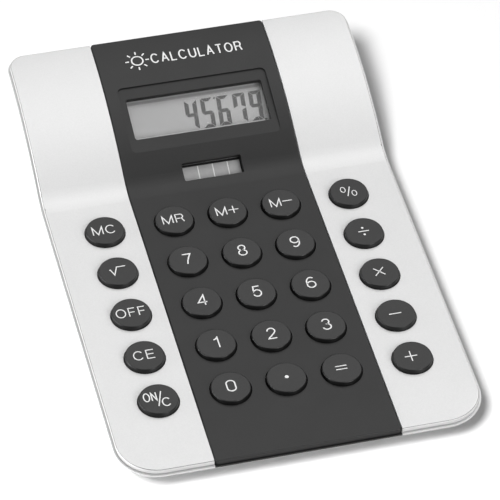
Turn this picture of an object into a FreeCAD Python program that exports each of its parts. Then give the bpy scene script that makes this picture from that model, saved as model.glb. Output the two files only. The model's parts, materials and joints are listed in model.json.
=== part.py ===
import FreeCAD, Part
import math
import os

# Desk calculator: a thin wave-shaped case with a flat key area at the front, a hollow bend, and a raised
# rear that carries the display. Millimetres. The origin is on the table under the middle of the case, +X to
# the right, +Y to the back, +Z up.

V = FreeCAD.Vector
UP = V(0, 0, 1)

# Case outline, seen from above
HALF_WIDTH = 51.8
FRONT_Y = -78.45
BACK_Y = 78.45
FRONT_CORNER_R = 11.4
BACK_CORNER_R = 4.9
LIP = 0.65                  # how far the lower shell stands out past the top cover

# Side profile of the silver top surface: flat, hollow bend, long crest
KEYPAD_Z = 11.35
BEND_Y = 24.65
BEND_R = 15.35
CREST_R = 99.85
BEND_ANGLE = math.radians(28.2)
FAR = 95.0                  # how far the profile is drawn past the case, front and back

# Reach of the plain solids that only cut or trim others: past the case on every side
WIDE = 60.0
DEEP = -5.0
TALL = 40.0

COVER_THICK = 1.4
LIP_THICK = 1.0
EDGE_ROUND = 0.5
LIP_ROUND = 0.4
SEAM_GAP = 0.25
SEAM_DEPTH = 1.4

# Centre band
BAND_HALF = 26.5
BAND_RISE = 0.15            # above the silver surface
BAND_SEAT = -0.75           # depth of the channel that it lies in
BAND_GAP = 0.2
BAND_PROUD = 0.25           # past the top cover at the front
BAND_WALL = 1.35
BAND_DROP = 1.55            # how far its end walls reach below the silver surface
BAND_CORNER_R = 1.0
BAND_EDGE_ROUND = 0.4

# Keys
KEY_PITCH_X = 16.0
KEY_PITCH_Y = 16.8
SIDE_COLUMN_X = 36.6
MIDDLE_ROW_Y = -20.4
KEY_ROWS = (
    ("mc", "mr", "m_plus", "m_minus", "percent"),
    ("root", "7", "8", "9", "divide"),
    ("off", "4", "5", "6", "multiply"),
    ("ce", "1", "2", "3", "minus"),
    ("on_clear", "0", "point", "equals", "plus"),
)
COLUMN_X = (-SIDE_COLUMN_X, -KEY_PITCH_X, 0.0, KEY_PITCH_X, SIDE_COLUMN_X)
KEY_HOLE_R = 6.0
KEY_SKIRT_R = 5.8
KEY_TOP_R = 5.6
KEY_EDGE_R = 0.4
KEY_TOP_Z = 12.7
KEY_DRAFT_Z = KEYPAD_Z - 0.2
KEY_FLANGE_R = 6.5
KEY_FLANGE_TOP_Z = 9.75
KEY_FLANGE_LOW_Z = 9.05
KEY_HOLLOW_R = 4.6
KEY_ROOF = 1.3
KEY_PLUNGER_R = 2.0
LUG_HALF = 1.0
LUG_REACH = 7.4
GUIDE_START = 6.8           # from the key's middle, backwards
GUIDE_END = 8.0
GUIDE_GAP = 0.3
GUIDE_THICK = 0.7
GUIDE_LOW_Z = 7.85

# Circuit board, key mat and what stands on the board
BOARD_LOW_Z = 4.2
BOARD_TOP_Z = 5.4
BOARD_HALF = 42.8
BOARD_FRONT_Y = -66.2
BOARD_BACK_Y = 19.6
BOARD_CORNER_R = 5.4
TONGUE_HALF = 30.0
TONGUE_BACK_Y = 36.0
MAT_THICK = 0.8
DOME_TOP_Z = 8.95
DOME_BASE_R = 4.3
DOME_TOP_R = 2.4
DOME_SKIN = 0.5
DOME_ROOF = 0.7
DOME_FOOT = 0.4
PILL_R = 1.4
PILL_THICK = 0.3
CHIP_Y = 26.0
CHIP_R = 4.0
CHIP_HIGH = 1.3
CAPACITOR_X = 13.0
CAPACITOR_Y = 23.5
CAPACITOR_LONG = 3.2
CAPACITOR_WIDE = 1.6
CAPACITOR_HIGH = 1.5

# Screws: six hold the case, six hold the board, one holds the battery cover
SHANK_R = 0.95
PILOT_R = 0.98
CLEAR_R = 1.3
HEAD_R = 2.1
HEAD_HIGH = 1.3
HEAD_ROOM_R = 2.5
HEAD_ROUND = 0.4
CROSS_HALF = 0.22
CROSS_REACH = 1.2
CROSS_DEEP = 0.6
POINT_LONG = 0.9
POINT_R = 0.3
BOSS_R = 2.4
SCREW_X = 26.3
BOARD_SCREWS = [(side * SCREW_X, y) for side in (-1, 1) for y in (4.8, -28.8, -62.4)]
BOARD_SHANK = 4.2
# x, y, height of the head's seat, height where the post meets the boss
CASE_SCREWS = (
    (26.3, -45.6, 2.7, BOARD_LOW_Z - 0.05),
    (38.0, 26.0, 2.7, 6.0),
    (37.0, 50.0, 7.5, 12.0),
)
CASE_SHANK = 6.8
HATCH_SHANK = 4.0
POST_R = 3.7
PILOT_PAST = 0.5

# Lower shell: a tapered pan under the wave
PAN_LOW_Z = 1.0
PAN_FLOOR = 1.8
PAN_WALL = 1.8
PAN_HALF = 44.8
PAN_FRONT_Y = -68.4
PAN_BACK_Y = 70.4
PAN_CORNER_R = 7.0
PAN_RIM_Z = 26.0
PAN_TAPER = 0.119           # outward lean of its walls
PAN_EDGE_ROUND = 1.0
BOARD_REST_R = 1.6
BOARD_REST_Y = (4.8, -28.8)
FOOT_R = 4.5
FOOT_SUNK = 0.8
FOOT_EDGE = 0.4
FEET = {
    "foot_front_left": (-37.0, -59.0),
    "foot_front_right": (37.0, -59.0),
    "foot_rear_left": (-36.0, 62.5),
    "foot_rear_right": (36.0, 62.5),
}

# Display: a flat facet sunk into the band, then the window, lens, display and holder below it
FACET_FRONT_Y = 39.15
FACET_BACK_Y = 59.85
FACET_FRONT_DROP = 0.2
FACET_BACK_DROP = 0.5
FACET_HALF = 22.65
FACET_REACH = 0.6           # how far the cut runs on past the front of its seat
FACET_CORNER_R = 1.6
WINDOW_HALF_X = 20.7
WINDOW_HALF_Y = 7.0
WINDOW_CORNER_R = 0.7
FRAME_HALF_X = 24.2
FRAME_HALF_Y = 12.2
FRAME_THICK = 1.6
LENS_HALF_X = 22.6
LENS_HALF_Y = 9.2
LENS_THICK = 0.8
GLASS_THICK = 0.7
GLASS_HALF_X = 22.4
GLASS_HALF_Y = 9.0
CONTACT_LEDGE = 1.8
HOLDER_WALL = 1.2
HOLDER_THICK = 1.2
FIT_GAP = 0.05
OPENING_GAP = 0.4

# Solar cell, square to the hollow bend
SOLAR_FRONT_Y = 28.5
SOLAR_BACK_Y = 33.75
SOLAR_HALF_X = 9.0
SOLAR_CORNER_R = 0.5
SOLAR_FRAME_HALF_X = 12.2
SOLAR_FRAME_HALF_Y = 4.7
SOLAR_FRAME_THICK = 1.8
GASKET_THICK = 0.4
GASKET_INNER_X = 9.4
GASKET_INNER_Y = 3.2
CELL_THICK = 1.1
CELL_HALF_X = 12.0
CELL_HALF_Y = 4.5

# Battery: one button cell in a tub that opens downwards
CELL_Y = 57.0
CELL_R = 5.8
CELL_LOW_Z = 3.2
CELL_HIGH = 3.1
CELL_CAP_R = 4.9
TUB_HALF = 10.0
TUB_FRONT_Y = 44.2
TUB_BACK_Y = 67.4
TUB_ROOF_Z = 7.3
TUB_WALL = 1.2
HATCH_GAP = 0.15
HATCH_THICK = 1.6
HATCH_SCREW_Y = 47.5
HATCH_CORNER_R = 0.8
CATCH_HALF = 3.0            # tongue that hooks the cover's back edge under the tub's wall
CATCH_THICK = 0.7
CATCH_REACH = 0.9
CATCH_ROOM = 0.2
CELL_PAD_R = 3.5
GRIP_HALF = 5.0             # finger grooves
GRIP_WIDE = 0.8
GRIP_PITCH = 2.4
GRIP_DEEP = 0.4

# Battery contacts, bent from thin strip, with solder tabs that pass up through slots in the tub's roof
CONTACT_THICK = 0.2
NEGATIVE_WIDE = 3.4
NEGATIVE_TAB_Y = 65.6
NEGATIVE_BEND_Y = 62.6
NEGATIVE_END_Y = 54.0
POSITIVE_WIDE = 2.4
POSITIVE_X = 8.6
POSITIVE_Y = (50.5, 52.5, 60.0, 62.0)
POSITIVE_TAB_Y = (61.0, 61.9)
TAB_TOP_Z = 10.2
NEGATIVE_SLOT = (-2.0, 2.0, 63.8, 66.0)
POSITIVE_SLOT = (8.1, 9.1, 60.4, 62.2)

# Wires: insulated, from the contacts and the solar cell down to the board
WIRE_R = 0.45
POSITIVE_ROUTE = ((15.0, 55.0, 10.2), (20.0, 46.0, 8.6), (21.2, 38.5, 8.2), (21.2, 34.0, 8.0))
NEGATIVE_ROUTE = ((-12.0, 58.5, 10.2), (-19.5, 46.0, 8.6), (-21.2, 38.5, 8.2), (-21.2, 34.0, 8.0))
SOLAR_WIRE_START = (10.5, 2.5)
SOLAR_WIRE_DROP = 1.6
SOLAR_WIRE_BEND = (14.0, 32.0, 7.8)
SOLAR_WIRE_END = (17.0, 28.2, 7.4)

# Foil from the display's contact ledge to the board
RIBBON_WIDE = 18.0
RIBBON_THICK = 0.2
RIBBON_LIFT = 0.15
RIBBON_Y = (37.5, 32.0)


def arc(centre_x, centre_y, radius, start, z):
    """Quarter circle, anticlockwise from the start angle in degrees."""
    circle = Part.Circle(V(centre_x, centre_y, z), UP, radius)
    first = math.radians(start)
    return Part.ArcOfCircle(circle, first, first + math.pi / 2).toShape()


def rounded_wire(half_x, front, back, front_r, back_r, z):
    """Rectangle with round corners, one radius for the front pair and one for the back pair."""
    corners = (
        arc(-half_x + front_r, front + front_r, front_r, 180, z),
        arc(half_x - front_r, front + front_r, front_r, 270, z),
        arc(half_x - back_r, back - back_r, back_r, 0, z),
        arc(-half_x + back_r, back - back_r, back_r, 90, z),
    )
    edges = []
    for here, after in zip(corners, corners[1:] + corners[:1]):
        edges.append(here)
        edges.append(Part.LineSegment(here.lastVertex(True).Point, after.firstVertex(True).Point).toShape())
    return Part.Wire(edges)


def block(half_x, half_y, corner_r, low, high):
    """Upright block with round corners, centred on the local origin."""
    wire = rounded_wire(half_x, -half_y, half_y, corner_r, corner_r, low)
    return Part.Face(wire).extrude(V(0, 0, high - low))


def box(x0, x1, y0, y1, z0, z1):
    return Part.makeBox(x1 - x0, y1 - y0, z1 - z0, V(x0, y0, z0))


def cylinder(x, y, radius, low, high):
    return Part.makeCylinder(radius, high - low, V(x, y, low))


def case_prism(inset):
    """Upright prism on the case outline, moved inwards by inset."""
    wire = rounded_wire(HALF_WIDTH - inset, FRONT_Y + inset, BACK_Y - inset,
                        FRONT_CORNER_R - inset, BACK_CORNER_R - inset, DEEP)
    return Part.Face(wire).extrude(V(0, 0, TALL - DEEP))


def wave_y_z(offset):
    """Corner and middle points of the side profile, moved outwards by offset."""
    bend_r = BEND_R - offset
    crest_r = CREST_R + offset
    bend_centre_z = KEYPAD_Z + BEND_R
    crest_centre_y = BEND_Y + (BEND_R + CREST_R) * math.sin(BEND_ANGLE)
    crest_centre_z = bend_centre_z - (BEND_R + CREST_R) * math.cos(BEND_ANGLE)
    half = BEND_ANGLE / 2
    return {
        "start": (-FAR, KEYPAD_Z + offset),
        "bend_start": (BEND_Y, KEYPAD_Z + offset),
        "bend_middle": (BEND_Y + bend_r * math.sin(half), bend_centre_z - bend_r * math.cos(half)),
        "bend_end": (BEND_Y + bend_r * math.sin(BEND_ANGLE), bend_centre_z - bend_r * math.cos(BEND_ANGLE)),
        "crest_middle": (crest_centre_y - crest_r * math.sin(half),
                         crest_centre_z + crest_r * math.cos(half)),
        "crest_end": (crest_centre_y, crest_centre_z + crest_r),
        "end": (FAR, crest_centre_z + crest_r),
    }


def wave_height(y, offset):
    """Height of the offset top surface at y."""
    if y <= BEND_Y:
        return KEYPAD_Z + offset
    if y <= wave_y_z(offset)["bend_end"][0]:
        return KEYPAD_Z + BEND_R - math.sqrt((BEND_R - offset) ** 2 - (y - BEND_Y) ** 2)
    top_y, top_z = wave_y_z(offset)["crest_end"]
    crest_r = CREST_R + offset
    return top_z - crest_r + math.sqrt(crest_r ** 2 - (min(y, top_y) - top_y) ** 2)


def wave_edges(offset, x):
    point = {name: V(x, y, z) for name, (y, z) in wave_y_z(offset).items()}
    return [
        Part.LineSegment(point["start"], point["bend_start"]).toShape(),
        Part.Arc(point["bend_start"], point["bend_middle"], point["bend_end"]).toShape(),
        Part.Arc(point["bend_end"], point["crest_middle"], point["crest_end"]).toShape(),
        Part.LineSegment(point["crest_end"], point["end"]).toShape(),
    ]


def close_and_extrude(lower, upper, half_x):
    """Face between two chains of edges in a plane across X, extruded to both sides."""
    ends = [
        Part.LineSegment(lower[0].firstVertex(True).Point, upper[0].firstVertex(True).Point).toShape(),
        Part.LineSegment(lower[-1].lastVertex(True).Point, upper[-1].lastVertex(True).Point).toShape(),
    ]
    wire = Part.Wire(Part.__sortEdges__(lower + upper + ends))
    return Part.Face(wire).extrude(V(2 * half_x, 0, 0))


def wave_slab(low, high, half_x):
    """Slab that follows the wave, between two offsets from the silver surface."""
    return close_and_extrude(wave_edges(low, -half_x), wave_edges(high, -half_x), half_x)


def under_wave(offset, half_x):
    """Everything below the offset surface, down to well under the table."""
    base = [Part.LineSegment(V(-half_x, -FAR, DEEP), V(-half_x, FAR, DEEP)).toShape()]
    return close_and_extrude(base, wave_edges(offset, -half_x), half_x)


def seat_between(front_y, back_y, front_drop, back_drop):
    """Origin and tilt of a flat seat whose front and back lie below the band's surface."""
    front_z = wave_height(front_y, BAND_RISE) - front_drop
    back_z = wave_height(back_y, BAND_RISE) - back_drop
    tilt = math.degrees(math.atan2(back_z - front_z, back_y - front_y))
    length = math.hypot(back_y - front_y, back_z - front_z)
    return V(0, (front_y + back_y) / 2, (front_z + back_z) / 2), tilt, length


FACET_ORIGIN, FACET_TILT, FACET_LENGTH = seat_between(FACET_FRONT_Y, FACET_BACK_Y,
                                                      FACET_FRONT_DROP, FACET_BACK_DROP)
SOLAR_ORIGIN, SOLAR_TILT, SOLAR_LENGTH = seat_between(SOLAR_FRONT_Y, SOLAR_BACK_Y, 0.0, 0.0)


def placed(shape, origin, tilt):
    """Moves a shape from a seat's own frame, X across, Y up the slope, Z out of it, into the case."""
    shape.rotate(V(0, 0, 0), V(1, 0, 0), tilt)
    shape.translate(origin)
    return shape


def on_facet(shape):
    return placed(shape, FACET_ORIGIN, FACET_TILT)


def on_solar_seat(shape):
    return placed(shape, SOLAR_ORIGIN, SOLAR_TILT)


def key_places():
    for row, names in enumerate(KEY_ROWS):
        for x, name in zip(COLUMN_X, names):
            yield name, x, MIDDLE_ROW_Y + (2 - row) * KEY_PITCH_Y


def key_holes():
    return [cylinder(x, y, KEY_HOLE_R, 0, KEYPAD_Z + 3) for _, x, y in key_places()]


def case_screw_places():
    for x, y, seat, join in CASE_SCREWS:
        for side in (-1, 1):
            yield side * x, y, seat, join


def is_rim_edge(edge, offset, inset):
    """True for an edge that runs along the outline, moved in by inset, on the offset top surface."""
    inner = case_prism(inset + 0.05)
    for share in (0.1, 0.5, 0.9):
        first, last = edge.ParameterRange
        point = edge.valueAt(first + share * (last - first))
        if abs(point.z - wave_height(point.y, offset)) > 0.02:
            return False
        if inner.isInside(V(point.x, point.y, 10), 0.001, True):
            return False
    return True


def key_guides():
    """Pairs of small ribs that keep each key's lug, and so its legend, straight."""
    ribs = []
    for _, x, y in key_places():
        for side in (-1, 1):
            inner = x + side * (LUG_HALF + GUIDE_GAP)
            outer = inner + side * GUIDE_THICK
            ribs.append(box(min(inner, outer), max(inner, outer), y + GUIDE_START, y + GUIDE_END,
                            GUIDE_LOW_Z, KEYPAD_Z - COVER_THICK + 0.1))
    return ribs


def top_cover():
    plate = wave_slab(-COVER_THICK, 0, WIDE).common(case_prism(0))
    rim = [edge for edge in plate.Edges if is_rim_edge(edge, 0, 0)]
    plate = plate.makeFillet(EDGE_ROUND, rim)
    half = BAND_HALF + BAND_GAP
    end_cut = BAND_WALL + BAND_GAP
    plate = plate.cut(wave_slab(BAND_SEAT, 3, half))
    openings = [
        box(-half, half, FRONT_Y - 5, FRONT_Y + end_cut - BAND_PROUD, 0, TALL),
        box(-half, half, BACK_Y - end_cut, BACK_Y + 5, 0, TALL),
        on_facet(block(FRAME_HALF_X + OPENING_GAP, FRAME_HALF_Y + OPENING_GAP, 1.0, -8, 6)),
        on_solar_seat(block(SOLAR_FRAME_HALF_X + OPENING_GAP, SOLAR_FRAME_HALF_Y + OPENING_GAP, 1.0, -6, 4)),
    ]
    plate = plate.cut(openings + key_holes())
    inside = under_wave(-COVER_THICK + 0.1, WIDE)
    bosses = [cylinder(x, y, BOSS_R, BOARD_TOP_Z + FIT_GAP, TALL) for x, y in BOARD_SCREWS]
    pilots = [cylinder(x, y, PILOT_R, 0, BOARD_LOW_Z + BOARD_SHANK + PILOT_PAST) for x, y in BOARD_SCREWS]
    for x, y, seat, join in case_screw_places():
        low = max(join, BOARD_TOP_Z) + FIT_GAP
        bosses.append(cylinder(x, y, BOSS_R, low, TALL))
        pilots.append(cylinder(x, y, PILOT_R, 0, seat + CASE_SHANK + PILOT_PAST))
    bosses = [boss.common(inside) for boss in bosses]
    return plate.fuse(bosses + key_guides()).cut(pilots).removeSplitter()


def centre_panel():
    front = FRONT_Y - BAND_PROUD
    back = BACK_Y
    outline = rounded_wire(BAND_HALF, front, back, BAND_CORNER_R, BAND_CORNER_R, DEEP)
    plan = Part.Face(outline).extrude(V(0, 0, TALL - DEEP))
    skin = wave_slab(BAND_SEAT, BAND_RISE, WIDE)
    deep_skin = wave_slab(-BAND_DROP, BAND_RISE, WIDE)
    ends = [
        deep_skin.common(box(-WIDE, WIDE, front - 1, front + BAND_WALL, 0, TALL)),
        deep_skin.common(box(-WIDE, WIDE, back - BAND_WALL, back + 1, 0, TALL)),
    ]
    band = skin.fuse(ends).common(plan).removeSplitter()
    rounded = []
    for edge in band.Edges:
        middle = edge.valueAt(sum(edge.ParameterRange) / 2)
        on_top = abs(middle.z - wave_height(middle.y, BAND_RISE)) < 0.01
        along_side = abs(abs(middle.x) - BAND_HALF) < 0.4
        at_end = middle.y < front + 0.4 or middle.y > back - 0.4
        if on_top and (along_side or at_end):
            rounded.append(edge)
    band = band.makeFillet(BAND_EDGE_ROUND, rounded)
    frames = [
        on_facet(block(FRAME_HALF_X, FRAME_HALF_Y, 1.0, -FRAME_THICK, 6)),
        on_solar_seat(block(SOLAR_FRAME_HALF_X, SOLAR_FRAME_HALF_Y, 0.8, -SOLAR_FRAME_THICK, 4)),
    ]
    below_band = under_wave(BAND_SEAT + 0.1, WIDE)
    band = band.fuse([frame.common(below_band) for frame in frames])
    facet = block(FACET_HALF, (FACET_LENGTH + FACET_REACH) / 2, FACET_CORNER_R, 0, 6)
    facet.translate(V(0, -FACET_REACH / 2, 0))
    cuts = [
        on_facet(facet),
        on_facet(block(WINDOW_HALF_X, WINDOW_HALF_Y, WINDOW_CORNER_R, -4, 4)),
        on_solar_seat(block(SOLAR_HALF_X, SOLAR_LENGTH / 2, SOLAR_CORNER_R, -4, 4)),
    ]
    return band.cut(cuts + key_holes()).removeSplitter()


def pan(inset, low):
    """Tapered pan from the given height up, its walls moved in by inset."""
    wires = []
    for z in (low, PAN_RIM_Z):
        grow = (z - PAN_LOW_Z) * PAN_TAPER - inset
        wires.append(rounded_wire(PAN_HALF + grow, PAN_FRONT_Y - grow, PAN_BACK_Y + grow,
                                  PAN_CORNER_R + grow, PAN_CORNER_R + grow, z))
    return Part.makeLoft(wires, True, True)


def bottom_cover():
    lip = wave_slab(-COVER_THICK - LIP_THICK, -COVER_THICK, WIDE).common(case_prism(-LIP))
    seam = wave_slab(-COVER_THICK - SEAM_GAP, -COVER_THICK + 1, WIDE)
    seam = seam.common(case_prism(-LIP - 1)).cut(case_prism(SEAM_DEPTH))
    lip = lip.cut(seam)
    rim = [edge for edge in lip.Edges if is_rim_edge(edge, -COVER_THICK - LIP_THICK, -LIP)]
    lip = lip.makeFillet(LIP_ROUND, rim)
    shell = pan(0, PAN_LOW_Z)
    base = [edge for edge in shell.Edges if max(vertex.Z for vertex in edge.Vertexes) < PAN_LOW_Z + 0.01]
    shell = shell.makeFillet(PAN_EDGE_ROUND, base)
    shell = shell.common(under_wave(-COVER_THICK - LIP_THICK / 2, WIDE))
    shell = shell.fuse(lip).cut(pan(PAN_WALL, PAN_LOW_Z + PAN_FLOOR))
    adds = [box(-TUB_HALF - TUB_WALL, TUB_HALF + TUB_WALL, TUB_FRONT_Y - TUB_WALL, TUB_BACK_Y + TUB_WALL,
                PAN_LOW_Z + 0.5, TUB_ROOF_Z + TUB_WALL)]
    for x in COLUMN_X[1:4]:
        for y in BOARD_REST_Y:
            adds.append(cylinder(x, y, BOARD_REST_R, PAN_LOW_Z + 0.5, BOARD_LOW_Z - FIT_GAP))
    catch_top = PAN_LOW_Z + HATCH_THICK
    catch_half = CATCH_HALF + CATCH_ROOM
    cuts = [
        box(-TUB_HALF, TUB_HALF, TUB_FRONT_Y, TUB_BACK_Y, 0, TUB_ROOF_Z),
        box(-catch_half, catch_half, TUB_BACK_Y - 0.5, TUB_BACK_Y + CATCH_REACH + CATCH_ROOM,
            catch_top - CATCH_THICK - HATCH_GAP, catch_top + CATCH_ROOM),
        box(*NEGATIVE_SLOT, TUB_ROOF_Z - 1, TUB_ROOF_Z + 3),
        box(*POSITIVE_SLOT, TUB_ROOF_Z - 1, TUB_ROOF_Z + 3),
    ]
    for x, y, seat, join in case_screw_places():
        adds.append(cylinder(x, y, POST_R, PAN_LOW_Z + 0.5, join))
        cuts.append(cylinder(x, y, HEAD_ROOM_R, 0, seat))
        cuts.append(cylinder(x, y, CLEAR_R, 0, join + 1))
    for x, y in FEET.values():
        cuts.append(cylinder(x, y, FOOT_R + 0.1, 0, PAN_LOW_Z + FOOT_SUNK))
    shell = shell.fuse(adds).cut(cuts)
    boss = cylinder(0, HATCH_SCREW_Y, BOSS_R, PAN_LOW_Z + HATCH_THICK + FIT_GAP, TUB_ROOF_Z + 0.1)
    pilot = cylinder(0, HATCH_SCREW_Y, PILOT_R, 0, TUB_ROOF_Z)
    return shell.fuse(boss).cut(pilot).removeSplitter()


def keycap():
    """One key on the local axis: hollow cap, plunger, flange that stops it under the cover, and a lug."""
    profile = [
        V(0, 0, KEY_TOP_Z),
        V(KEY_TOP_R - KEY_EDGE_R, 0, KEY_TOP_Z),
        V(KEY_TOP_R, 0, KEY_TOP_Z - KEY_EDGE_R),
        V(KEY_SKIRT_R, 0, KEY_DRAFT_Z),
        V(KEY_SKIRT_R, 0, KEY_FLANGE_TOP_Z),
        V(KEY_FLANGE_R, 0, KEY_FLANGE_TOP_Z),
        V(KEY_FLANGE_R, 0, KEY_FLANGE_LOW_Z),
        V(KEY_HOLLOW_R, 0, KEY_FLANGE_LOW_Z),
        V(KEY_HOLLOW_R, 0, KEY_TOP_Z - KEY_ROOF),
        V(KEY_PLUNGER_R, 0, KEY_TOP_Z - KEY_ROOF),
        V(KEY_PLUNGER_R, 0, KEY_FLANGE_LOW_Z),
        V(0, 0, KEY_FLANGE_LOW_Z),
    ]
    edges = [Part.LineSegment(a, b).toShape() for a, b in zip(profile, profile[1:] + profile[:1])]
    slant = KEY_EDGE_R * (1 - math.sqrt(0.5))
    edges[1] = Part.Arc(profile[1], V(KEY_TOP_R - slant, 0, KEY_TOP_Z - slant), profile[2]).toShape()
    cap = Part.Face(Part.Wire(edges)).revolve(V(0, 0, 0), UP, 360)
    lug = box(-LUG_HALF, LUG_HALF, KEY_FLANGE_R - 0.5, LUG_REACH, KEY_FLANGE_LOW_Z, KEY_FLANGE_TOP_Z)
    return cap.fuse(lug).removeSplitter()


def dome():
    """Hollow rubber dome with its contact pill, on the local axis."""
    sheet_top = BOARD_TOP_Z + FIT_GAP + MAT_THICK
    roof = DOME_TOP_Z - DOME_ROOF
    profile = [
        V(DOME_BASE_R + DOME_FOOT, 0, sheet_top - 0.3),
        V(DOME_BASE_R, 0, sheet_top),
        V(DOME_TOP_R, 0, DOME_TOP_Z),
        V(0, 0, DOME_TOP_Z),
        V(0, 0, roof - PILL_THICK),
        V(PILL_R, 0, roof - PILL_THICK),
        V(PILL_R, 0, roof),
        V(DOME_TOP_R - DOME_SKIN, 0, roof),
        V(DOME_BASE_R - DOME_SKIN, 0, BOARD_TOP_Z + FIT_GAP),
        V(DOME_BASE_R + DOME_FOOT, 0, BOARD_TOP_Z + FIT_GAP),
    ]
    return Part.Face(Part.makePolygon(profile + profile[:1])).revolve(V(0, 0, 0), UP, 360)


def rubber_mat():
    low = BOARD_TOP_Z + FIT_GAP
    half = BOARD_HALF - 0.4
    wire = rounded_wire(half, BOARD_FRONT_Y + 0.4, BOARD_BACK_Y - 0.4, BOARD_CORNER_R, BOARD_CORNER_R, low)
    sheet = Part.Face(wire).extrude(V(0, 0, MAT_THICK))
    shafts = BOARD_SCREWS + [(x, y) for x, y, _, _ in case_screw_places() if y < BOARD_BACK_Y]
    holes = [cylinder(x, y, BOSS_R + 0.5, 0, TALL) for x, y in shafts]
    holes += [cylinder(x, y, DOME_BASE_R, 0, TALL) for _, x, y in key_places()]
    domes = []
    for _, x, y in key_places():
        domes.append(dome())
        domes[-1].translate(V(x, y, 0))
    return sheet.cut(holes).fuse(domes).removeSplitter()


def circuit_board():
    main = rounded_wire(BOARD_HALF, BOARD_FRONT_Y, BOARD_BACK_Y, BOARD_CORNER_R, BOARD_CORNER_R, BOARD_LOW_Z)
    tongue = rounded_wire(TONGUE_HALF, 0, TONGUE_BACK_Y, 2, 2, BOARD_LOW_Z)
    thick = V(0, 0, BOARD_TOP_Z - BOARD_LOW_Z)
    board = Part.Face(main).extrude(thick).fuse(Part.Face(tongue).extrude(thick))
    holes = [cylinder(x, y, CLEAR_R, 0, TALL) for x, y in BOARD_SCREWS]
    holes += [cylinder(x, y, CLEAR_R + 0.3, 0, TALL) for x, y, _, _ in case_screw_places() if y < 0]
    return board.cut(holes).removeSplitter()


def controller_chip():
    """Drop of epoxy over the bare chip: a cap cut from a large ball."""
    ball_r = (CHIP_R ** 2 + CHIP_HIGH ** 2) / (2 * CHIP_HIGH)
    ball = Part.makeSphere(ball_r, V(0, CHIP_Y, BOARD_TOP_Z + CHIP_HIGH - ball_r))
    return ball.common(box(-WIDE, WIDE, -WIDE, WIDE, BOARD_TOP_Z, TALL))


def capacitors():
    parts = []
    half_x = CAPACITOR_LONG / 2
    half_y = CAPACITOR_WIDE / 2
    for x in (-CAPACITOR_X, CAPACITOR_X):
        body = box(x - half_x, x + half_x, CAPACITOR_Y - half_y, CAPACITOR_Y + half_y,
                   BOARD_TOP_Z, BOARD_TOP_Z + CAPACITOR_HIGH)
        upright = [edge for edge in body.Edges if abs(edge.Vertexes[0].Z - edge.Vertexes[1].Z) > 1]
        parts.append(body.makeFillet(0.25, upright))
    return Part.makeCompound(parts)


def screw(x, y, seat, shank):
    """Self-tapping screw driven upwards, its head's upper face at the seat's height."""
    head = cylinder(x, y, HEAD_R, seat - HEAD_HIGH, seat)
    low_rim = [edge for edge in head.Edges if edge.BoundBox.ZMax < seat - HEAD_HIGH + 0.01]
    head = head.makeFillet(HEAD_ROUND, low_rim)
    low = seat - HEAD_HIGH - 1
    deep = seat - HEAD_HIGH + CROSS_DEEP
    cross = [
        box(x - CROSS_REACH, x + CROSS_REACH, y - CROSS_HALF, y + CROSS_HALF, low, deep),
        box(x - CROSS_HALF, x + CROSS_HALF, y - CROSS_REACH, y + CROSS_REACH, low, deep),
    ]
    point_z = seat + shank - POINT_LONG
    point = Part.makeCone(SHANK_R, POINT_R, POINT_LONG, V(x, y, point_z))
    return head.fuse([cylinder(x, y, SHANK_R, seat, point_z), point]).cut(cross).removeSplitter()


def case_screws():
    return Part.makeCompound([screw(x, y, seat, CASE_SHANK) for x, y, seat, _ in case_screw_places()])


def board_screws():
    return Part.makeCompound([screw(x, y, BOARD_LOW_Z, BOARD_SHANK) for x, y in BOARD_SCREWS])


def battery_cover_screw():
    return screw(0, HATCH_SCREW_Y, PAN_LOW_Z + HEAD_HIGH + 0.1, HATCH_SHANK)


def battery_cover():
    low = PAN_LOW_Z
    high = PAN_LOW_Z + HATCH_THICK
    front = TUB_FRONT_Y + HATCH_GAP
    back = TUB_BACK_Y - HATCH_GAP
    half = TUB_HALF - HATCH_GAP
    outline = rounded_wire(half, front, back, HATCH_CORNER_R, HATCH_CORNER_R, low)
    plate = Part.Face(outline).extrude(V(0, 0, HATCH_THICK))
    catch = box(-CATCH_HALF, CATCH_HALF, back - 1, TUB_BACK_Y + CATCH_REACH, high - CATCH_THICK, high)
    pad = cylinder(0, CELL_Y, CELL_PAD_R, high - 0.1, CELL_LOW_Z - FIT_GAP)
    seat = PAN_LOW_Z + HEAD_HIGH + 0.1
    cuts = [
        cylinder(0, HATCH_SCREW_Y, HEAD_ROOM_R, 0, seat),
        cylinder(0, HATCH_SCREW_Y, CLEAR_R, 0, high + 1),
    ]
    for step in range(4):
        y = CELL_Y + (step - 1.25) * GRIP_PITCH
        cuts.append(box(-GRIP_HALF, GRIP_HALF, y, y + GRIP_WIDE, low - 1, low + GRIP_DEEP))
    return plate.fuse([catch, pad]).cut(cuts).removeSplitter()


def button_cell():
    can = cylinder(0, CELL_Y, CELL_R, CELL_LOW_Z, CELL_LOW_Z + CELL_HIGH - 0.5)
    cap = cylinder(0, CELL_Y, CELL_CAP_R, CELL_LOW_Z + CELL_HIGH - 0.5, CELL_LOW_Z + CELL_HIGH)
    rims = [edge for edge in can.Edges if edge.BoundBox.ZMax - edge.BoundBox.ZMin < 0.01]
    return can.makeFillet(0.35, rims).fuse(cap).removeSplitter()


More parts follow.
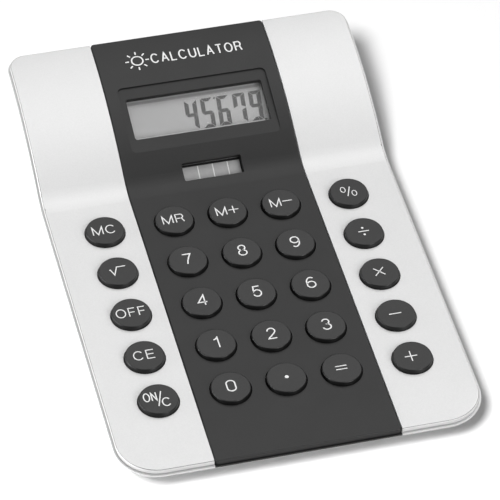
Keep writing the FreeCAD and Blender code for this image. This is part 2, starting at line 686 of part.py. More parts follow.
def bent_path(points):
    """Straight runs joined by tangent arcs, each as large as its two runs allow."""
    edges = []
    start = points[0]
    for before, corner, after in zip(points, points[1:], points[2:]):
        into = (corner - before).normalize()
        out = (after - corner).normalize()
        half_turn = into.getAngle(out) / 2
        cut = 0.45 * min((corner - before).Length, (after - corner).Length)
        radius = cut / math.tan(half_turn)
        bisector = (out - into).normalize()
        middle = corner + bisector * (radius / math.cos(half_turn) - radius)
        first = corner - into * cut
        last = corner + out * cut
        edges.append(Part.LineSegment(start, first).toShape())
        edges.append(Part.Arc(first, middle, last).toShape())
        start = last
    edges.append(Part.LineSegment(start, points[-1]).toShape())
    return Part.Wire(edges)


def tube(points):
    """Insulated wire along a bent path."""
    path = bent_path(points)
    ring = Part.Wire(Part.Circle(points[0], points[1] - points[0], WIRE_R).toShape())
    return path.makePipeShell([ring], True, True)


def strip(points, across, width, thick):
    """Flat foil or leaf along a bent path; across is the direction of its width."""
    along = (points[1] - points[0]).normalize()
    normal = along.cross(across).normalize()
    a = across * (width / 2)
    b = normal * (thick / 2)
    start = points[0]
    section = Part.makePolygon([start + a + b, start + a - b, start - a - b, start - a + b, start + a + b])
    return bent_path(points).makePipeShell([section], True, True)


def facet_point(x, up_slope, out):
    """A place given in the facet's frame."""
    turn = math.radians(FACET_TILT)
    return FACET_ORIGIN + V(x, up_slope * math.cos(turn) - out * math.sin(turn),
                            up_slope * math.sin(turn) + out * math.cos(turn))


def solar_point(x, up_slope, out):
    turn = math.radians(SOLAR_TILT)
    return SOLAR_ORIGIN + V(x, up_slope * math.cos(turn) - out * math.sin(turn),
                            up_slope * math.sin(turn) + out * math.cos(turn))


LENS_OUT = -FRAME_THICK - FIT_GAP
GLASS_OUT = LENS_OUT - LENS_THICK - FIT_GAP
REAR_OUT = GLASS_OUT - 2 * GLASS_THICK
CELL_OUT = -SOLAR_FRAME_THICK - GASKET_THICK


def display_lens():
    lens = block(LENS_HALF_X, LENS_HALF_Y, 0.8, LENS_OUT - LENS_THICK, LENS_OUT)
    return on_facet(lens)


def lcd_panel():
    """Two bonded glasses; the rear one is longer, so its lower edge carries the contacts."""
    front = block(GLASS_HALF_X, GLASS_HALF_Y - CONTACT_LEDGE / 2, 0.2, GLASS_OUT - GLASS_THICK, GLASS_OUT)
    front.translate(V(0, CONTACT_LEDGE / 2, 0))
    rear = block(GLASS_HALF_X, GLASS_HALF_Y, 0.2, REAR_OUT, GLASS_OUT - GLASS_THICK)
    return on_facet(front.fuse(rear).removeSplitter())


def lcd_holder():
    """Tray behind the display, with walls that reach up around lens and glass to the centre panel."""
    low = REAR_OUT - FIT_GAP - HOLDER_THICK
    outer = block(LENS_HALF_X + FIT_GAP + HOLDER_WALL, LENS_HALF_Y + FIT_GAP + HOLDER_WALL, 1.0,
                  low, -FRAME_THICK - FIT_GAP)
    pocket = block(LENS_HALF_X + FIT_GAP, LENS_HALF_Y + FIT_GAP, 0.8, REAR_OUT - FIT_GAP, 0)
    slot = box(-10, 10, -LENS_HALF_Y - 3, -LENS_HALF_Y + 0.5, REAR_OUT - 0.1, 0)
    light_hole = block(16, 5, 1.0, low - 1, 0)
    return on_facet(outer.cut([pocket, slot, light_hole]))


def lcd_ribbon():
    ledge = GLASS_OUT - GLASS_THICK + RIBBON_LIFT
    points = [
        facet_point(0, -GLASS_HALF_Y + 1.5, ledge),
        facet_point(0, -GLASS_HALF_Y - 5.0, ledge),
        V(0, RIBBON_Y[0], BOARD_TOP_Z + RIBBON_LIFT),
        V(0, RIBBON_Y[1], BOARD_TOP_Z + RIBBON_LIFT),
    ]
    return strip(points, V(1, 0, 0), RIBBON_WIDE, RIBBON_THICK)


def solar_cell():
    return on_solar_seat(block(CELL_HALF_X, CELL_HALF_Y, 0.2, CELL_OUT - CELL_THICK, CELL_OUT))


def solar_gasket():
    ring = block(CELL_HALF_X, CELL_HALF_Y, 0.2, CELL_OUT, -SOLAR_FRAME_THICK)
    return on_solar_seat(ring.cut(block(GASKET_INNER_X, GASKET_INNER_Y, 0.3, -9, 1)))


def solar_wire(side):
    back = CELL_OUT - CELL_THICK - FIT_GAP
    start_x, start_y = SOLAR_WIRE_START
    bend_x, bend_y, bend_z = SOLAR_WIRE_BEND
    end_x, end_y, end_z = SOLAR_WIRE_END
    return tube([
        solar_point(side * start_x, start_y, back),
        solar_point(side * start_x, start_y, back - SOLAR_WIRE_DROP),
        V(side * bend_x, bend_y, bend_z),
        V(side * end_x, end_y, end_z),
        V(side * end_x, end_y, BOARD_TOP_Z + FIT_GAP),
    ])


def contact_negative():
    """Leaf spring on the tub's roof that bears on the top of the cell."""
    cell_top = CELL_LOW_Z + CELL_HIGH + CONTACT_THICK / 2 - 0.08
    roof = TUB_ROOF_Z - CONTACT_THICK / 2 - 0.02
    points = [
        V(0, NEGATIVE_TAB_Y, TAB_TOP_Z),
        V(0, NEGATIVE_TAB_Y, roof),
        V(0, NEGATIVE_BEND_Y, roof),
        V(0, CELL_Y, cell_top),
        V(0, NEGATIVE_END_Y, roof - 0.3),
    ]
    return strip(points, V(1, 0, 0), NEGATIVE_WIDE, CONTACT_THICK)


def contact_positive():
    """Bowed leaf that bears on the side of the cell, with a solder tab through the roof."""
    middle_z = CELL_LOW_Z + CELL_HIGH / 2
    bow_x = CELL_R - 0.6
    y0, y1, y2, y3 = POSITIVE_Y
    points = [V(POSITIVE_X, y0, middle_z), V(POSITIVE_X, y1, middle_z), V(bow_x, CELL_Y, middle_z),
              V(POSITIVE_X, y2, middle_z), V(POSITIVE_X, y3, middle_z)]
    leaf = strip(points, UP, POSITIVE_WIDE, CONTACT_THICK)
    half = CONTACT_THICK / 2
    tab = box(POSITIVE_X - half, POSITIVE_X + half, *POSITIVE_TAB_Y, middle_z, TAB_TOP_Z)
    return leaf.fuse(tab).removeSplitter()


def battery_wire(start, route):
    """Wire soldered beside a contact's tab, up over the tub and down to the board."""
    end_z = BOARD_TOP_Z + FIT_GAP
    last = route[-1]
    return tube([*start, *[V(*point) for point in route], V(last[0], last[1], end_z)])


def battery_wire_positive():
    x = POSITIVE_X + CONTACT_THICK / 2 + WIRE_R + 0.02
    start = (V(x, POSITIVE_TAB_Y[0] + 0.5, 9.2), V(x, POSITIVE_TAB_Y[0] + 0.2, TAB_TOP_Z + 0.2))
    return battery_wire(start, POSITIVE_ROUTE)


def battery_wire_negative():
    x = -NEGATIVE_WIDE / 2 - WIRE_R - 0.02
    start = (V(x, NEGATIVE_TAB_Y, 9.2), V(x - 0.2, NEGATIVE_TAB_Y - 0.2, TAB_TOP_Z + 0.2))
    return battery_wire(start, NEGATIVE_ROUTE)


def foot(x, y):
    disc = cylinder(x, y, FOOT_R, 0, PAN_LOW_Z + FOOT_SUNK)
    rim = [edge for edge in disc.Edges if edge.BoundBox.ZMax < 0.01]
    return disc.makeFillet(FOOT_EDGE, rim)


def save(name, shape):
    shape.exportStep("parts/" + name + ".step")
    solids = len(shape.Solids)
    print(name, "valid" if shape.isValid() else "NOT VALID", solids, round(shape.Volume, 2))


def main():
    os.makedirs("parts", exist_ok=True)
    single = (
        top_cover, centre_panel, bottom_cover, battery_cover, battery_cover_screw, case_screws, board_screws,
        display_lens, lcd_panel, lcd_holder, lcd_ribbon, solar_cell, solar_gasket, rubber_mat, circuit_board,
        controller_chip, capacitors, button_cell, contact_positive, contact_negative,
        battery_wire_positive, battery_wire_negative,
    )
    for make in single:
        save(make.__name__, make())
    save("solar_wire_positive", solar_wire(1))
    save("solar_wire_negative", solar_wire(-1))
    for name, (x, y) in FEET.items():
        save(name, foot(x, y))
    cap = keycap()
    for name, x, y in key_places():
        key = cap.copy()
        key.translate(V(x, y, 0))
        save("key_" + name, key)


main()
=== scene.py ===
import json
import math

import bmesh
import bpy
from mathutils import Matrix, Vector
from mathutils.bvhtree import BVHTree

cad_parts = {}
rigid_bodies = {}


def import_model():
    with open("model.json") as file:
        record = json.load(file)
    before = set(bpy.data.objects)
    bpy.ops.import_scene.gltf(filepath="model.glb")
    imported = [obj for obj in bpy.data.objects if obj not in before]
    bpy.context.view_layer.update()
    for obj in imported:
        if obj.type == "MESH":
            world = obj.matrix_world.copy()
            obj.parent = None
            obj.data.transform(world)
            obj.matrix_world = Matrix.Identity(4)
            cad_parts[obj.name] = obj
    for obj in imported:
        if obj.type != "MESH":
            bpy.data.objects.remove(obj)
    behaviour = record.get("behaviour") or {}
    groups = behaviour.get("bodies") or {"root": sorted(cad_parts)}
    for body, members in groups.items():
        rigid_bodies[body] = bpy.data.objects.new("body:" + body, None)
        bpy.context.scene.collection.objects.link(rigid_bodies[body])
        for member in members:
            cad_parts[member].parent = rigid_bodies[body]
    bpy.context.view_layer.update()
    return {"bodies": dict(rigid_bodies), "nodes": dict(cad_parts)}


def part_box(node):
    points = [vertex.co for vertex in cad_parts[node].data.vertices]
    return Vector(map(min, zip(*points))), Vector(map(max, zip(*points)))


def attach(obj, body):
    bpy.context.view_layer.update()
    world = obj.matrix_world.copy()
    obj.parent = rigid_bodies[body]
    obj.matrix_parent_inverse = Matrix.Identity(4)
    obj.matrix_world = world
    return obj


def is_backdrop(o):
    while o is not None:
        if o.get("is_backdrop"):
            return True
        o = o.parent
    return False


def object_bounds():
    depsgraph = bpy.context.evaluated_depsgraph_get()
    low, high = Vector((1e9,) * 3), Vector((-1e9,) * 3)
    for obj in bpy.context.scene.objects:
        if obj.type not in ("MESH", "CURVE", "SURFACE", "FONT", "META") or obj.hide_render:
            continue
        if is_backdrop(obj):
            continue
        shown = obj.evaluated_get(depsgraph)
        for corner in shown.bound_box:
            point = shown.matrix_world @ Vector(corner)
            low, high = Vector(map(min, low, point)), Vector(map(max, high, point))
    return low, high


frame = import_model()
MM = 0.001
scene = bpy.context.scene


# ---------------------------------------------------------------- materials

FINE_DETAIL = 3.0
BROAD_DETAIL = 2.0
BROAD_SCALE = 0.04
RAMP_ENDS = (0.3, 0.7)
LENS_ALPHA = 0.04


def grey(level):
    """Linear colour of a neutral grey given as it looks on screen, 0 to 255."""
    s = level / 255
    linear = s / 12.92 if s <= 0.04045 else ((s + 0.055) / 1.055) ** 2.4
    return (linear, linear, linear)


def noise(tree, place, scale, detail):
    """Noise texture at a place; returns its value."""
    made = tree.nodes.new("ShaderNodeTexNoise")
    made.inputs["Scale"].default_value = scale
    made.inputs["Detail"].default_value = detail
    tree.links.new(place, made.inputs["Vector"])
    return made.outputs["Fac"]


def material(name, colour, rough, metal=0.0, specular=0.5, grain=700.0, vary=0.06,
             rough_vary=0.05, bump=0.1, bump_deep=0.00002, stretch=(1, 1, 1)):
    """Principled surface in object space: a fine noise varies its colour and gives a slight
    bump, and a broad one varies its roughness."""
    made = bpy.data.materials.new(name)
    made.use_nodes = True
    tree = made.node_tree
    link = tree.links.new
    shader = tree.nodes["Principled BSDF"]
    shader.inputs["Metallic"].default_value = metal
    shader.inputs["Specular IOR Level"].default_value = specular
    place = tree.nodes.new("ShaderNodeMapping")
    place.inputs["Scale"].default_value = stretch
    link(tree.nodes.new("ShaderNodeTexCoord").outputs["Object"], place.inputs["Vector"])
    small = noise(tree, place.outputs["Vector"], grain, FINE_DETAIL)
    broad = noise(tree, place.outputs["Vector"], grain * BROAD_SCALE, BROAD_DETAIL)
    ramp = tree.nodes.new("ShaderNodeValToRGB")
    for i, share in enumerate((1 - vary, 1 + vary)):
        ramp.color_ramp.elements[i].position = RAMP_ENDS[i]
        ramp.color_ramp.elements[i].color = [min(1.0, c * share) for c in colour] + [1]
    link(small, ramp.inputs["Fac"])
    link(ramp.outputs["Color"], shader.inputs["Base Color"])
    spread = tree.nodes.new("ShaderNodeMapRange")
    spread.inputs["To Min"].default_value = rough - rough_vary
    spread.inputs["To Max"].default_value = rough + rough_vary
    link(broad, spread.inputs["Value"])
    link(spread.outputs["Result"], shader.inputs["Roughness"])
    relief = tree.nodes.new("ShaderNodeBump")
    relief.inputs["Strength"].default_value = bump
    relief.inputs["Distance"].default_value = bump_deep
    link(small, relief.inputs["Height"])
    link(relief.outputs["Normal"], shader.inputs["Normal"])
    return made


FINISHES = {
    # the record's slots
    "silver_shell": dict(colour=grey(192), rough=0.42, metal=0.3, grain=2600, vary=0.03, bump=0.12),
    "black_panel": dict(colour=grey(26), rough=0.42, specular=0.3, grain=2200, vary=0.08,
                        bump=0.25),
    "silver_base": dict(colour=grey(190), rough=0.5, metal=0.25, grain=2200, vary=0.03, bump=0.15),
    "key_plastic": dict(colour=grey(36), rough=0.36, specular=0.28, grain=2000, vary=0.08,
                        bump=0.3),
    "display_glass": dict(colour=grey(139), rough=0.35, specular=0.2, grain=1500, vary=0.02,
                          bump=0.05),
    "black_frame": dict(colour=grey(30), rough=0.55, grain=1200, vary=0.1, bump=0.3),
    "ribbon_foil": dict(colour=(0.62, 0.36, 0.12), rough=0.35, metal=0.2, grain=900, vary=0.08),
    # The solar film's light grey is partly its own tone and partly a painted reflection of the
    # bright room.
    "solar_film": dict(colour=grey(136), rough=0.3, grain=800, vary=0.04, bump=0.05),
    "foam": dict(colour=grey(40), rough=0.9, grain=1500, vary=0.25, bump=0.8, bump_deep=0.0001),
    "silicone": dict(colour=grey(205), rough=0.55, specular=0.4, grain=500, vary=0.04),
    "board_green": dict(colour=(0.02, 0.13, 0.05), rough=0.35, grain=260, vary=0.25, bump=0.2),
    "epoxy": dict(colour=grey(24), rough=0.2, grain=400, vary=0.2, bump=0.1),
    "ceramic_tan": dict(colour=(0.42, 0.28, 0.14), rough=0.4, grain=1500, vary=0.15),
    "steel": dict(colour=grey(178), rough=0.3, metal=1.0, grain=1800, vary=0.1, bump=0.2),
    "cell_steel": dict(colour=grey(205), rough=0.22, metal=1.0, grain=1400, vary=0.05,
                       stretch=(1, 8, 1)),
    "contact_nickel": dict(colour=grey(196), rough=0.25, metal=1.0, grain=1500, vary=0.06),
    "wire_red": dict(colour=(0.45, 0.02, 0.015), rough=0.4, grain=900, vary=0.08),
    "wire_black": dict(colour=grey(28), rough=0.4, grain=900, vary=0.1),
    "foot_rubber": dict(colour=grey(48), rough=0.8, grain=1600, vary=0.15, bump=0.5,
                        bump_deep=0.00005),
    "clear_lens": dict(colour=grey(250), rough=0.06, specular=0.3, grain=900, vary=0.01,
                       rough_vary=0.01, bump=0.0),
    # print and lines, and the painted shadow, highlight and shade on the display glass and solar
    # cell
    "legend_white": dict(colour=grey(208), rough=0.5, grain=1500, vary=0.03),
    "lcd_ink": dict(colour=grey(46), rough=0.5, specular=0.1, grain=1500, vary=0.04),
    "lcd_shade": dict(colour=grey(112), rough=0.5, specular=0.2, grain=1500, vary=0.03),
    "lcd_edge": dict(colour=grey(172), rough=0.5, specular=0.2, grain=1500, vary=0.03),
    "cell_line": dict(colour=grey(196), rough=0.4, grain=1500, vary=0.03),
    "cell_edge": dict(colour=grey(24), rough=0.5, specular=0.1, grain=1500, vary=0.06),
    "moulded_mark": dict(colour=grey(120), rough=0.6, grain=1500, vary=0.05),
}
looks = {name: material(name, **finish) for name, finish in FINISHES.items()}
lens_shader = looks["clear_lens"].node_tree.nodes["Principled BSDF"]
lens_shader.inputs["Alpha"].default_value = LENS_ALPHA

# Where the painted shade goes: millimetres in the row frame, and for the rounded edge the
# upward part of the surface's normal. Each part gets a darker colour that stands in for shade.
BAND_END_HALF_X = 26.6
BAND_END_Y = -77.6
BAND_END_SHADE_GREY = 24
KEY_SKIRT_TOP = 12.61
KEY_SKIRT_SHADE_GREY = 14
EDGE_LEAN_LOW = 0.62
EDGE_LEAN_HIGH = 0.84
EDGE_SHADE_GREY = 105

# Sockets of a Mix node that mixes colours.
MIX_SHARE = 0
MIX_FIRST = 6
MIX_SECOND = 7
MIX_RESULT = 2


def axes(tree, coordinate):
    """The X, Y and Z sockets of one of the texture coordinates."""
    split = tree.nodes.new("ShaderNodeSeparateXYZ")
    source = tree.nodes.new("ShaderNodeTexCoord").outputs[coordinate]
    tree.links.new(source, split.inputs["Vector"])
    return split.outputs


def math_node(tree, operation, first, second=0.0):
    """Maths node on a socket and a number, or on two sockets; returns its output."""
    made = tree.nodes.new("ShaderNodeMath")
    made.operation = operation
    tree.links.new(first, made.inputs[0])
    if isinstance(second, float):
        made.inputs[1].default_value = second
    else:
        tree.links.new(second, made.inputs[1])
    return made.outputs[0]


def paint_shade(made, colour, zone):
    """Paints shade into part of a surface as a darker colour; zone() returns a socket that is 1 on
    that part.
    """
    tree = made.node_tree
    base = tree.nodes["Principled BSDF"].inputs["Base Color"]
    first = base.links[0].from_socket
    mix = tree.nodes.new("ShaderNodeMix")
    mix.data_type = "RGBA"
    mix.inputs[MIX_SECOND].default_value = (*colour, 1)
    tree.links.new(first, mix.inputs[MIX_FIRST])
    tree.links.new(zone(tree), mix.inputs[MIX_SHARE])
    tree.links.new(mix.outputs[MIX_RESULT], base)


def band_end_painted_shade(tree):
    """Painted shade: the lower shell's lip under the band's front end, darkened as if shaded by the
    band.
    """
    place = axes(tree, "Object")
    sideways = math_node(tree, "ABSOLUTE", place["X"])
    beside = math_node(tree, "LESS_THAN", sideways, BAND_END_HALF_X * MM)
    ahead = math_node(tree, "LESS_THAN", place["Y"], BAND_END_Y * MM)
    return math_node(tree, "MULTIPLY", beside, ahead)


def key_skirt_painted_shade(tree):
    """Painted shade: a key's side, below its top, darkened as the shaded side of the key."""
    return math_node(tree, "LESS_THAN", axes(tree, "Object")["Z"], KEY_SKIRT_TOP * MM)


def rounded_edge_painted_shade(tree):
    """Painted shade on the small round along the top cover's outer edge, told by how far the
    surface leans.
    """
    lean = axes(tree, "Normal")["Z"]
    above = math_node(tree, "GREATER_THAN", lean, EDGE_LEAN_LOW)
    below = math_node(tree, "LESS_THAN", lean, EDGE_LEAN_HIGH)
    return math_node(tree, "MULTIPLY", above, below)


# Painted shade: the lip under the band's end, the top cover's rounded edge and the keys' sides get
# darker colours that stand in for shade.
paint_shade(looks["silver_base"], grey(BAND_END_SHADE_GREY), band_end_painted_shade)
paint_shade(looks["silver_shell"], grey(EDGE_SHADE_GREY), rounded_edge_painted_shade)
paint_shade(looks["key_plastic"], grey(KEY_SKIRT_SHADE_GREY), key_skirt_painted_shade)

for node in frame["nodes"].values():
    slot_name = node.data.materials[0].name.split(".")[0]
    node.data.materials[0] = looks[slot_name]


# ---------------------------------------------------------------- building pieces

ARC_STEP_DEG = 9
LEAST_ARC_STEPS = 4
DOT_STEPS = 20
SHARPEST_MITRE = 0.35
FOLLOW_STEP = 0.7


def piece(name, mesh, look, body):
    """Adds a mesh under construction to the scene as a piece that rides on a body."""
    bmesh.ops.recalc_face_normals(mesh, faces=mesh.faces)
    closed = bpy.data.meshes.new(name)
    mesh.to_mesh(closed)
    mesh.free()
    closed.materials.append(looks[look])
    made = bpy.data.objects.new(name, closed)
    scene.collection.objects.link(made)
    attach(made, body)
    return made


def arc(cx, cy, rx, ry, start, end, steps=None):
    """Points of an ellipse's arc, angles in degrees, anticlockwise if end is larger."""
    steps = steps or max(LEAST_ARC_STEPS, int(abs(end - start) / ARC_STEP_DEG))
    turn = [math.radians(start + (end - start) * i / steps) for i in range(steps + 1)]
    return [(cx + rx * math.cos(a), cy + ry * math.sin(a)) for a in turn]


def ring(cx, cy, rx, ry, steps=None):
    """Points of a whole ellipse, the first one not repeated."""
    return arc(cx, cy, rx, ry, 0, 360, steps)[:-1]


def stroke(mesh, points, width, at, closed=False):
    """Flat line of one width; at() turns a flat place into a place in the row frame."""
    flat = [Vector(p) for p in points]
    count = len(flat)
    sides = []
    for i, p in enumerate(flat):
        before = flat[i - 1] if i or closed else None
        after = flat[(i + 1) % count] if i < count - 1 or closed else None
        along = Vector((0, 0))
        if before is not None:
            along += (p - before).normalized()
        if after is not None:
            along += (after - p).normalized()
        along.normalize()
        across = Vector((-along.y, along.x))
        reach = width / 2
        if before is not None and after is not None:
            leg = (p - before).normalized()
            reach /= max(SHARPEST_MITRE, abs(across.dot(Vector((-leg.y, leg.x)))))
        sides.append([mesh.verts.new(at(p + across * side)) for side in (reach, -reach)])
    pairs = zip(sides, sides[1:] + sides[:1] if closed else sides[1:])
    for (a, b), (c, d) in pairs:
        mesh.faces.new((a, b, d, c))


def dot(mesh, x, y, radius, at):
    """Flat round spot."""
    rim = ring(x, y, radius, radius, DOT_STEPS)
    mesh.faces.new([mesh.verts.new(at(Vector(p))) for p in rim])


def fine(points):
    """The same line with extra points, so that a long stroke follows a curved surface."""
    out = [points[0]]
    for a, b in zip(points, points[1:]):
        count = max(1, math.ceil(math.dist(a, b) / FOLLOW_STEP))
        out += [(a[0] + (b[0] - a[0]) * i / count, a[1] + (b[1] - a[1]) * i / count)
                for i in range(1, count + 1)]
    return out


# ---------------------------------------------------------------- letters

def line(*points):
    """Stroke with two ends."""
    return (list(points), False)


def loop(points):
    """Stroke that closes on itself."""
    return (points, True)


ZERO = arc(0.5, 0.72, 0.5, 0.28, 0, 180) + arc(0.5, 0.28, 0.5, 0.28, 180, 360)

# Each sign has its width as a share of its height, and strokes in a box of 1 by 1.
GLYPHS = {
    "0": (0.62, [loop(ZERO)]),
    "1": (0.30, [line((0.0, 0.78), (0.45, 0.82), (0.8, 0.92), (1.0, 1.0), (1.0, 0.0))]),
    "2": (0.60, [line(*arc(0.5, 0.72, 0.47, 0.28, 175, -20), (0.80, 0.50), (0.4, 0.26),
                      (0.12, 0.12), (0.0, 0.0), (1.0, 0.0))]),
    "3": (0.60, [line(*arc(0.48, 0.76, 0.42, 0.24, 165, -82)),
                 line(*arc(0.5, 0.27, 0.5, 0.27, 96, -170))]),
    "4": (0.66, [line((0.74, 0.0), (0.74, 1.0), (0.0, 0.3), (1.0, 0.3))]),
    "5": (0.60, [line((0.92, 1.0), (0.2, 1.0), (0.08, 0.47),
                      *arc(0.5, 0.32, 0.5, 0.32, 140, -160))]),
    "6": (0.62, [loop(ring(0.5, 0.3, 0.5, 0.3)),
                 line(*arc(0.58, 0.62, 0.42, 0.38, 48, 100),
                      *arc(0.56, 0.5, 0.56, 0.5, 100, 190))]),
    "7": (0.60, [line((0.0, 1.0), (1.0, 1.0), (0.72, 0.66), (0.5, 0.33), (0.38, 0.0))]),
    "8": (0.60, [loop(ring(0.5, 0.76, 0.42, 0.24)), loop(ring(0.5, 0.26, 0.5, 0.26))]),
    "A": (0.76, [line((0.0, 0.0), (0.5, 1.0), (1.0, 0.0)), line((0.2, 0.34), (0.8, 0.34))]),
    "C": (0.86, [line(*arc(0.5, 0.5, 0.5, 0.5, 38, 322))]),
    "E": (0.68, [line((1.0, 1.0), (0.0, 1.0), (0.0, 0.0), (1.0, 0.0)),
                 line((0.0, 0.52), (0.92, 0.52))]),
    "F": (0.58, [line((1.0, 1.0), (0.0, 1.0), (0.0, 0.0)), line((0.0, 0.5), (0.9, 0.5))]),
    "L": (0.60, [line((0.0, 1.0), (0.0, 0.0), (1.0, 0.0))]),
    "M": (0.92, [line((0.0, 0.0), (0.0, 1.0), (0.5, 0.0), (1.0, 1.0), (1.0, 0.0))]),
    "N": (0.66, [line((0.0, 0.0), (0.0, 1.0), (1.0, 0.0), (1.0, 1.0))]),
    "O": (0.84, [loop(ring(0.5, 0.5, 0.5, 0.5))]),
    "R": (0.72, [line((0.0, 0.0), (0.0, 1.0), (0.6, 1.0), *arc(0.62, 0.74, 0.34, 0.26, 85, -85),
                      (0.0, 0.48)),
                 line((0.55, 0.48), (0.78, 0.42), (0.9, 0.2), (1.0, 0.0))]),
    "T": (0.70, [line((0.0, 1.0), (1.0, 1.0)), line((0.5, 1.0), (0.5, 0.0))]),
    "U": (0.74, [line((0.0, 1.0), *arc(0.5, 0.36, 0.5, 0.36, 180, 360), (1.0, 1.0))]),
    "V": (0.74, [line((0.0, 1.0), (0.5, 0.0), (1.0, 1.0))]),
}
# A nine is a six turned round.
GLYPHS["9"] = (GLYPHS["6"][0], [([(1 - x, 1 - y) for x, y in points], closed)
                                for points, closed in GLYPHS["6"][1]])
WORD_SPACE = 0.55


def write(mesh, text, left, base, high, width, at, gap=0.26, squeeze=1.0):
    """Draws a word from its left edge. Sizes are to the outside of the strokes, and gap is the
    space between letters as a share of their height."""
    inner = high - width
    x = left
    for letter in text:
        if letter == " ":
            x += inner * WORD_SPACE
            continue
        wide, strokes = GLYPHS[letter]
        wide *= squeeze
        for points, closed in strokes:
            placed = [(x + width / 2 + px * wide * inner, base + width / 2 + py * inner)
                      for px, py in points]
            stroke(mesh, placed if closed else fine(placed), width, at, closed)
        x += wide * inner + width + gap * high


# ---------------------------------------------------------------- key legends

# Sizes are in millimetres, and places are from the middle of a key's top.
LEGEND_LIFT = 0.012
LEGEND_THICK = 0.01
LETTER_LINE = 0.32
DIGIT_LINE = 0.39
SIGN_LINE = 0.3
RING_LINE = 0.24
LEGEND_DIGIT_BASE = -1.9
LEGEND_DIGIT_HIGH = 4.3
LEGEND_DIGIT_FIT = 4.2
LEGEND_DIGIT_X = {"7": -0.15, "9": -0.15}
LEGEND_DIGIT_USUAL_X = 0.1
LEGEND_WORD_BASE = -1.62
LEGEND_WORD_HIGH = 3.45
LEGEND_WORD_GAP = 0.2

LEGEND_STROKES = {
    "divide": [[(-1.75, 0.05), (1.45, 0.05)]],
    "multiply": [[(-1.6, 1.6), (1.3, -1.3)], [(-1.6, -1.3), (1.3, 1.6)]],
    "minus": [[(-2.1, 0.0), (1.5, 0.0)]],
    "plus": [[(-2.3, 0.0), (1.3, 0.0)], [(-0.5, 1.9), (-0.5, -1.9)]],
    "equals": [[(-1.8, 0.72), (1.5, 0.72)], [(-1.8, -0.5), (1.5, -0.5)]],
    "percent": [[(0.68, 1.9), (-0.72, -1.85)]],
    "root": [[(-2.4, 0.6), (-2.1, 0.78), (-1.25, -1.45), (-0.1, 1.6), (2.45, 1.6)]],
    "m_plus": [[(0.2, 0.15), (3.2, 0.15)], [(1.7, 1.65), (1.7, -1.35)]],
    "m_minus": [[(0.5, 0.3), (3.4, 0.3)]],
}
# Middle and radius of each dot.
LEGEND_DOTS = {
    "divide": [(-0.2, 1.4, 0.36), (-0.2, -1.3, 0.36)],
    "point": [(0.1, 0.1, 0.56)],
}
# Middle and the two radii of each ring.
LEGEND_RINGS = {
    "percent": [(-1.55, 0.98, 0.68, 1.06), (1.45, -0.92, 0.68, 1.06)],
}
# A word and its left edge.
LEGEND_WORDS = {
    "mc": ("MC", -3.8), "mr": ("MR", -3.6), "off": ("OFF", -4.45), "ce": ("CE", -3.3),
    "m_plus": ("M", -3.55), "m_minus": ("M", -3.25),
}
# The key with two legends, ON over C, and the slash between them.
ON_LINE = 0.34
ON_WORD = dict(text="ON", left=-4.2, base=-0.62, high=3.3, gap=0.08, squeeze=0.66)
ON_SLASH = [(1.15, 2.6), (-0.5, -2.7)]
CLEAR_LETTER = dict(text="C", left=0.6, base=-3.2, high=3.25, squeeze=0.9)


def draw_legend(mesh, key, at):
    """All of one key's legend."""
    for points in LEGEND_STROKES.get(key, []):
        stroke(mesh, points, SIGN_LINE, at)
    for x, y, radius in LEGEND_DOTS.get(key, []):
        dot(mesh, x, y, radius, at)
    for shape in LEGEND_RINGS.get(key, []):
        stroke(mesh, ring(*shape), RING_LINE, at, True)
    if key.isdigit():
        wide = GLYPHS[key][0] * (LEGEND_DIGIT_FIT - DIGIT_LINE) + DIGIT_LINE
        left = LEGEND_DIGIT_X.get(key, LEGEND_DIGIT_USUAL_X) - wide / 2
        write(mesh, key, left, LEGEND_DIGIT_BASE, LEGEND_DIGIT_HIGH, DIGIT_LINE, at)
    if key in LEGEND_WORDS:
        word, left = LEGEND_WORDS[key]
        write(mesh, word, left, LEGEND_WORD_BASE, LEGEND_WORD_HIGH, LETTER_LINE, at,
              gap=LEGEND_WORD_GAP)
    if key == "on_clear":
        write(mesh, width=ON_LINE, at=at, **ON_WORD)
        stroke(mesh, ON_SLASH, ON_LINE, at)
        write(mesh, width=ON_LINE, at=at, **CLEAR_LETTER)


for body in frame["bodies"]:
    if not body.startswith("key_"):
        continue
    key = body[len("key_"):]
    low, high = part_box(body)
    # A key's lug sticks out behind it, so its middle is measured from its front.
    middle = Vector(((low.x + high.x) / 2, low.y + (high.x - low.x) / 2, high.z + LEGEND_LIFT * MM))
    drawn = bmesh.new()
    draw_legend(drawn, key, lambda p: middle + Vector((p[0] * MM, p[1] * MM, 0)))
    legend = piece("legend_" + key, drawn, "legend_white", body)
    ink = legend.modifiers.new("ink", "SOLIDIFY")
    ink.thickness = LEGEND_THICK * MM
    ink.offset = -1


# ---------------------------------------------------------------- display and solar cell

# What counts as a tilted node's upper face: how far it faces up and sideways, and how flat.
UPWARD = 0.5
SIDEWAYS = 0.01
FLAT_WITHIN = 0.03

# Lines on the display glass and the solar cell, in millimetres from the middle of each.
GLASS_LIFT = 0.02
DECIMAL_POINT = (19.75, -5.3, 0.42)
COMMA = [(6.15, 4.75), (5.8, 4.1)]
COMMA_LINE = 0.45
# Painted shadow: a darker strip along the glass's top edge, where the window's upper wall shades
# it.
TOP_PAINTED_SHADOW = [(-20.6, 6.5), (20.6, 6.5)]
TOP_PAINTED_SHADOW_LINE = 0.9
# Painted highlight: a lighter line along the glass's left and bottom edges.
GLASS_EDGE_HIGHLIGHT = [(-20.3, 6.0), (-20.3, -5.5), (20.6, -5.5)]
GLASS_EDGE_HIGHLIGHT_LINE = 0.26
CELL_GAPS_X = (-4.05, 0.45, 4.95)
CELL_GAP_HALF = 2.9
CELL_GAP_LINE = 0.28
CELL_GAP_LIFT = 0.015
